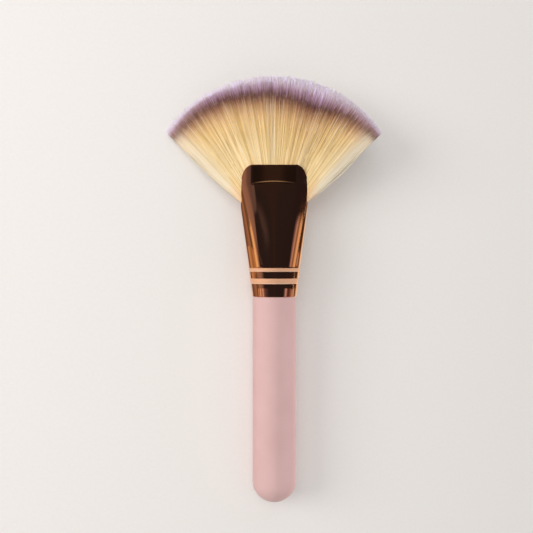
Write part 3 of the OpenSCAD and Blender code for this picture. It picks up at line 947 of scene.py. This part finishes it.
# cards that only reflections see: a dark half round behind the camera, with warm ones before it at the
# sides. Each has a name, a radius, its lower and its upper end along the brush at the first and the last
# stop, and its stops: degrees from left to right, counted from the camera's own side, with the light there
cardDark = (0.0235, 0.018, 0.0185)
roundCards = (
    ("dark_tent", 0.42, (-0.9, -0.9), (0.9, 0.9), (
        (-77, (0.34, 0.21, 0.155)), (-61, (0.27, 0.17, 0.13)), (-58, (0.16, 0.105, 0.09)),
        (-53, (0.12, 0.08, 0.075)), (-50, (0.04, 0.028, 0.025)), (-45, cardDark),
        (-6, cardDark), (0, (0.031, 0.021, 0.018)), (5, cardDark),
        (60, (0.021, 0.015, 0.016)), (103, (0.025, 0.014, 0.01)),
    )),
    ("orange_card_left", 0.41, (-0.06, -0.06), (0.07, 0.07), (
        (-77, (0.98, 0.7, 0.34)), (-74, (0.88, 0.57, 0.27)), (-71, (0.5, 0.31, 0.18)),
        (-67, (0.25, 0.15, 0.12)), (-62, (0.06, 0.042, 0.036)), (-57, (0.024, 0.016, 0.014)),
        (-49, cardDark),
    )),
    ("mauve_card_left", 0.4, (0.113, 0.17), (0.22, 0.22), (
        (-50, (0.1, 0.075, 0.07)), (-40, (0.13, 0.1, 0.094)), (-22, (0.12, 0.088, 0.08)),
        (-8, (0.024, 0.018, 0.018)),
    )),
    ("low_card_left", 0.41, (-0.4, -0.4), (-0.1, -0.118), (
        (-77, (0.7, 0.48, 0.28)), (-73, (0.88, 0.62, 0.38)), (-69, (0.5, 0.25, 0.15)),
        (-66, (0.36, 0.16, 0.09)), (-62, (0.37, 0.18, 0.11)), (-59, (1, 0.76, 0.68)),
        (-57, (0.5, 0.28, 0.22)), (-50, (0.16, 0.09, 0.08)), (-40, (0.08, 0.05, 0.05)),
        (-26, cardDark),
    )),
    ("low_card_right", 0.41, (-0.4, -0.4), (-0.113, -0.088), (
        (48, cardDark), (54, (0.22, 0.14, 0.14)), (60, (0.6, 0.42, 0.4)),
        (65, (0.3, 0.17, 0.13)), (70, (0.1, 0.045, 0.04)), (77, (0.085, 0.028, 0.024)),
        (83, (0.17, 0.07, 0.06)), (90, (0.27, 0.13, 0.08)), (96, (0.44, 0.24, 0.15)),
        (103, (0.7, 0.4, 0.24)),
    )),
    ("warm_card_right", 0.4, (-0.05, -0.05), (0.087, 0.034), (
        (64, (0.025, 0.02, 0.02)), (66, (0.09, 0.07, 0.07)), (70, (0.25, 0.15, 0.13)),
        (74, (0.55, 0.35, 0.29)), (78, (0.37, 0.23, 0.165)), (83, (0.21, 0.11, 0.055)),
        (88, (0.62, 0.38, 0.2)), (95, (0.93, 0.6, 0.28)), (99, (0.76, 0.48, 0.22)),
        (103, (0.4, 0.24, 0.11)),
    )),
    ("lip_card", 0.39, (0.06, 0.06), (0.125, 0.125), (
        (-4, (0.014, 0.01, 0.009)), (-0.6, (0.014, 0.01, 0.009)), (-0.3, (0.034, 0.022, 0.016)),
        (2.1, (0.034, 0.022, 0.016)), (2.4, (0.014, 0.01, 0.009)), (8, (0.014, 0.01, 0.009)),
    )),
    ("top_card", 0.4, (0.5, 0.5), (0.8, 0.8), (
        (-25, (0.02, 0.016, 0.012)), (-14, (0.08, 0.065, 0.04)), (-6, (0.36, 0.31, 0.19)),
        (6, (0.36, 0.31, 0.19)), (14, (0.08, 0.065, 0.04)), (25, (0.02, 0.016, 0.012)),
    )),
)

# the ones that lie beside the brush. Each has a name, its side, its height over the floor, its two ends,
# and its stops: millimetres to the left or the right of the brush, with the light there
floorCards = (
    ("floor_card_left", -1, 0.0004, (-0.4, -0.4), (0.4, 0.4), (
        (14, (0.2, 0.11, 0.06)), (17, (0.15, 0.08, 0.04)), (23, (0.26, 0.14, 0.088)),
        (30, (0.37, 0.21, 0.125)), (40, (0.32, 0.18, 0.105)), (47, (0.14, 0.08, 0.045)),
        (56, (0.12, 0.07, 0.042)), (68, (0.22, 0.13, 0.065)), (90, (0.17, 0.1, 0.06)),
        (139, (0.16, 0.1, 0.065)), (180, (0.32, 0.2, 0.15)), (430, (0.33, 0.21, 0.155)),
    )),
    ("orange_floor_left", -1, 0.0006, (-0.012, -0.03), (0.03, 0.066), (
        (84, (0.3, 0.17, 0.07)), (100, (0.6, 0.38, 0.17)), (122, (0.88, 0.6, 0.28)),
        (430, (0.98, 0.7, 0.34)),
    )),
    ("near_floor_left", -1, 0.0008, (0.002, -0.006), (0.0165, 0.0185), (
        (15, (0.16, 0.09, 0.045)), (18, (0.25, 0.14, 0.07)), (21, (0.62, 0.37, 0.2)),
        (27, (0.52, 0.28, 0.12)), (36, (0.31, 0.16, 0.07)), (50, (0.5, 0.26, 0.12)),
        (70, (0.52, 0.25, 0.08)), (100, (0.8, 0.5, 0.22)),
    )),
    ("low_floor_left", -1, 0.001, (-0.3, -0.3), (-0.012, -0.03), (
        (55, (0.34, 0.17, 0.09)), (74, (0.64, 0.35, 0.2)), (100, (0.5, 0.26, 0.12)),
        (160, (0.46, 0.24, 0.11)),
    )),
    ("floor_card_right", 1, 0.0004, (-0.4, -0.4), (0.4, 0.4), (
        (14, (0.95, 0.72, 0.46)), (29, (0.92, 0.68, 0.42)), (34, (0.3, 0.16, 0.07)),
        (38, (0.08, 0.028, 0.01)), (52, (0.07, 0.03, 0.014)), (102, (0.09, 0.042, 0.026)),
        (150, (0.02, 0.01, 0.006)), (430, (0.03, 0.014, 0.01)),
    )),
    ("near_floor_right", 1, 0.0006, (0.003, 0.003), (0.0125, 0.0125), (
        (40, (0.08, 0.028, 0.01)), (50, (0.28, 0.16, 0.09)), (60, (0.4, 0.23, 0.14)),
        (109, (0.72, 0.42, 0.28)), (160, (0.3, 0.16, 0.1)),
    )),
    ("low_floor_right", 1, 0.0006, (-0.3, -0.3), (-0.008, -0.02), (
        (28, (0.3, 0.15, 0.07)), (34, (0.12, 0.05, 0.02)), (45, (0.2, 0.11, 0.06)),
        (58, (0.42, 0.25, 0.15)), (120, (0.85, 0.52, 0.33)), (200, (0.3, 0.16, 0.1)),
    )),
    ("far_floor_right", 1, 0.0006, (0.0295, 0.0295), (0.045, 0.045), (
        (50, (0.15, 0.08, 0.05)), (73, (0.34, 0.22, 0.15)), (92, (0.44, 0.3, 0.22)),
        (120, (0.05, 0.03, 0.02)),
    )),
)


def makeCards():
    for name, radius, near, far, stops in roundCards:
        low, high = stops[0][0], stops[-1][0]
        steps = round((high - low) / cardForm["degreesEach"])
        makeCard(name, roundEdge(radius, low, high, steps), near, far, stops)
    for name, side, height, near, far, stops in floorCards:
        low, high = stops[0][0], stops[-1][0]
        steps = round((high - low) / cardForm["millimetresEach"])
        edge = [(side * toMetres * mix(low, high, i / steps), height) for i in range(steps + 1)]
        makeCard(name, edge, near, far, stops)


studio = {
    "lamps": {
        "key": {"place": (-0.75, 0.15, 0.45), "size": 0.5, "power": 4.0, "colour": (1.0, 0.975, 0.95)},
        "top": {"place": (-0.3, 0.35, 0.85), "size": 0.6, "power": 2.0, "colour": (1.0, 0.98, 0.96)},
        "rim": {"place": (0.85, -0.15, 0.055), "size": 0.1, "power": 3.9, "colour": (0.97, 0.95, 1.0)},
    },
    "worldColour": (1.0, 0.98, 0.96, 1), "worldStrength": 0.46,
    "rimLit": (
        "lacquered_handle", "rose_gold_ferrule", "resin_plug", "hair_front", "hair_middle", "hair_back",
    ),
}


def makeLamp(name, place, size, power, colour):
    data = bpy.data.lights.new(name, "AREA")
    data.shape = "DISK"
    data.size = size
    data.energy = power
    data.color = colour
    lamp = intoScene(name, data)
    lamp.location = place
    lamp.rotation_euler = Vector(place).to_track_quat("Z", "Y").to_euler()  # every lamp aims at the middle
    lamp.visible_glossy = False
    return lamp


def makeLamps():
    lamps = {name: makeLamp(name, **form) for name, form in studio["lamps"].items()}
    # the low lamp at the side lights the brush alone, or it would burn a white patch into the floor by it
    brushPieces = bpy.data.collections.new("brush pieces")
    for name in studio["rimLit"]:
        brushPieces.objects.link(bpy.data.objects[name])
    lamps["rim"].light_linking.receiver_collection = brushPieces


makeFloor()
makeCards()
makeLamps()

world = bpy.data.worlds.new("studio")
world.use_nodes = True
backdrop = world.node_tree.nodes["Background"]
backdrop.inputs["Color"].default_value = studio["worldColour"]
backdrop.inputs["Strength"].default_value = studio["worldStrength"]
bpy.context.scene.world = world
bpy.context.scene.view_settings.view_transform = "Standard"
print("studio lit")
